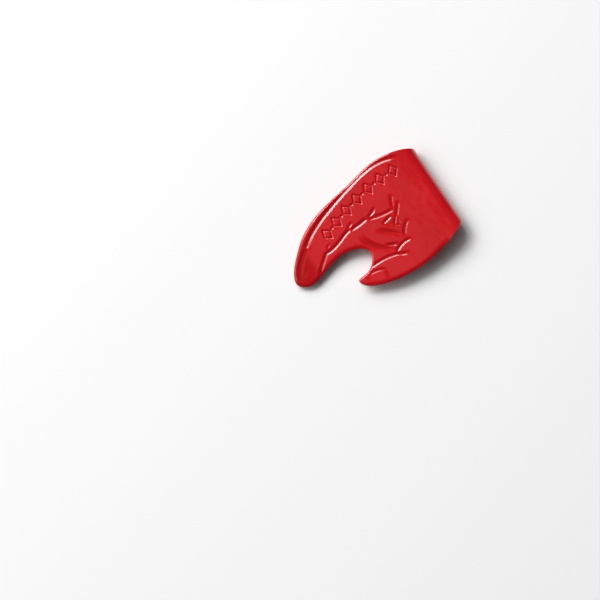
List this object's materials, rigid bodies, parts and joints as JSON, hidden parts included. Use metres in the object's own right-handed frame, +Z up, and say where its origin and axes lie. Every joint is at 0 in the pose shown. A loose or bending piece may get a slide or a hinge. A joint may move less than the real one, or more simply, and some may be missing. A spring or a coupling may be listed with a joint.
{
  "type": "money clip",
  "caption": "Folded spring-steel money clip in glossy red enamel, both leaves cut as a pointing hand, that pinches a folded stack of banknotes.",
  "frame": {"origin": "under the middle of the clip, on the flat outer face of the back leaf it lies on", "axes": "+X from the fold to the tip of the pointing finger, +Y to the thumb, +Z up from the back leaf to the front leaf"},
  "size_m": [0.0416, 0.0274, 0.005],
  "materials": {
    "red_enamel": "glossy red stoving enamel over stamped spring steel"
  },
  "bodies": {
    "back_leaf": {"back_leaf": "red_enamel"},
    "spring_bend": {"spring_bend": "red_enamel"},
    "front_leaf": {"front_leaf": "red_enamel"}
  },
  "joints": [
    {"name": "flex_lower", "type": "hinge", "parent": "back_leaf", "child": "spring_bend", "pos_m": [-0.01827, 0, 0.00025], "axis": [0, -1, 0], "range_deg": [0, 6], "stiffness_Nm_per_rad": 2.6, "springref_deg": -1.65},
    {"name": "flex_upper", "type": "hinge", "parent": "spring_bend", "child": "front_leaf", "pos_m": [-0.01808, 0, 0.00474], "axis": [0, -1, 0], "range_deg": [0, 6], "stiffness_Nm_per_rad": 2.6, "springref_deg": -1.65}
  ],
  "couplings": [
    {"joint": "flex_upper", "follows": "flex_lower", "ratio": 1}
  ]
}
